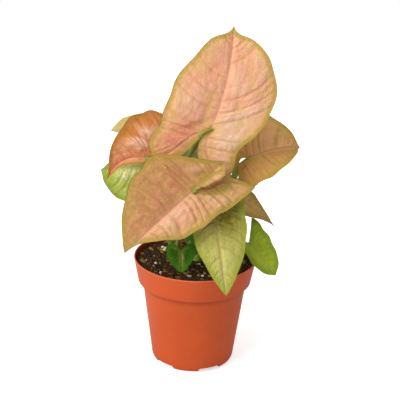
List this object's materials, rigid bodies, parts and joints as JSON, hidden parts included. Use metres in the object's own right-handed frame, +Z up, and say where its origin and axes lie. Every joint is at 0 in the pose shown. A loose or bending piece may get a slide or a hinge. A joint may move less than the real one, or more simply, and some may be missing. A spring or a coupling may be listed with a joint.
{
  "type": "potted syngonium plant",
  "caption": "Pink arrowhead-leaved house plant standing in a filled round plastic nursery pot with drain notches round its foot.",
  "frame": {"origin": "middle of the pot's flat underside, where it stands on a table", "axes": "+Z up along the pot's axis; the plant's show side faces -Y; +X is to the right seen from the show side"},
  "size_m": [0.176, 0.154, 0.293],
  "materials": {
    "pot": "satin",
    "soil": "matte",
    "stems": "satin",
    "leaf_pink": "satin",
    "leaf_olive_pink": "satin",
    "leaf_salmon": "satin",
    "leaf_pale_pink": "satin",
    "leaf_green": "satin",
    "leaf_yellow_green": "satin",
    "leaf_dark_green": "satin"
  },
  "bodies": {
    "root": {"pot": "pot", "soil": "soil", "stems_centre": "stems", "stems_left": "stems", "stems_right": "stems", "stems_young": "stems", "blade_top": "leaf_pink", "blade_front": "leaf_pink", "blade_right": "leaf_olive_pink", "blade_left": "leaf_salmon", "blade_left_pale": "leaf_pale_pink", "blade_left_green": "leaf_green", "blade_centre": "leaf_yellow_green", "blade_low_right": "leaf_green", "blade_small_pink": "leaf_pale_pink", "blade_young": "leaf_dark_green", "blade_young_behind": "leaf_dark_green", "blade_back_left": "leaf_green", "blade_back_right": "leaf_pale_pink"}
  },
  "joints": []
}
